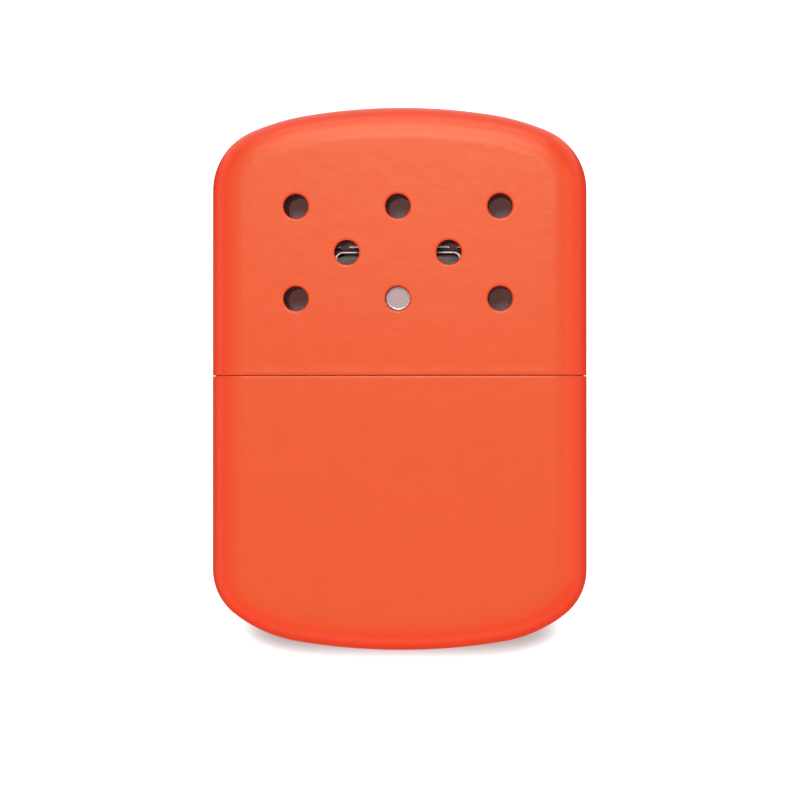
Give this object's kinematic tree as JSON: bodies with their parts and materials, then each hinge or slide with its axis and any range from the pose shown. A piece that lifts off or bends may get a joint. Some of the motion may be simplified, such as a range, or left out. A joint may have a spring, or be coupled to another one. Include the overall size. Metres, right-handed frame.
{
  "type": "catalytic hand warmer",
  "caption": "Refillable catalytic hand warmer: a flat drawn case whose vented lid lifts off a burner, a filler neck and a cotton-packed fuel tank.",
  "frame": {"origin": "under the middle of the case, on the surface that it lies on", "axes": "+X across the width, +Y along the length towards the lid's crown, +Z out of the front face"},
  "size_m": [0.0698, 0.1012, 0.0127],
  "materials": {
    "coated_case": "satin powder coat on drawn steel",
    "bright_steel": "bright plated",
    "satin_steel": "satin stamped sheet",
    "cotton": "loose cotton",
    "glass_fibre": "glass-fibre mat with catalyst"
  },
  "bodies": {
    "base": {"base_shell": "coated_case", "tank_top": "bright_steel", "filler_neck": "bright_steel", "cotton_wadding": "cotton"},
    "lid": {"lid_shell": "coated_case"},
    "burner": {"burner_front": "satin_steel", "burner_back": "satin_steel", "neck_socket": "satin_steel", "catalyst_mat": "glass_fibre"}
  },
  "joints": [
    {"name": "lid_lift", "type": "slide", "parent": "base", "child": "lid", "axis": [0, 1, 0], "range_m": [0, 0.04]},
    {"name": "burner_lift", "type": "slide", "parent": "base", "child": "burner", "axis": [0, 1, 0], "range_m": [0, 0.01]}
  ]
}
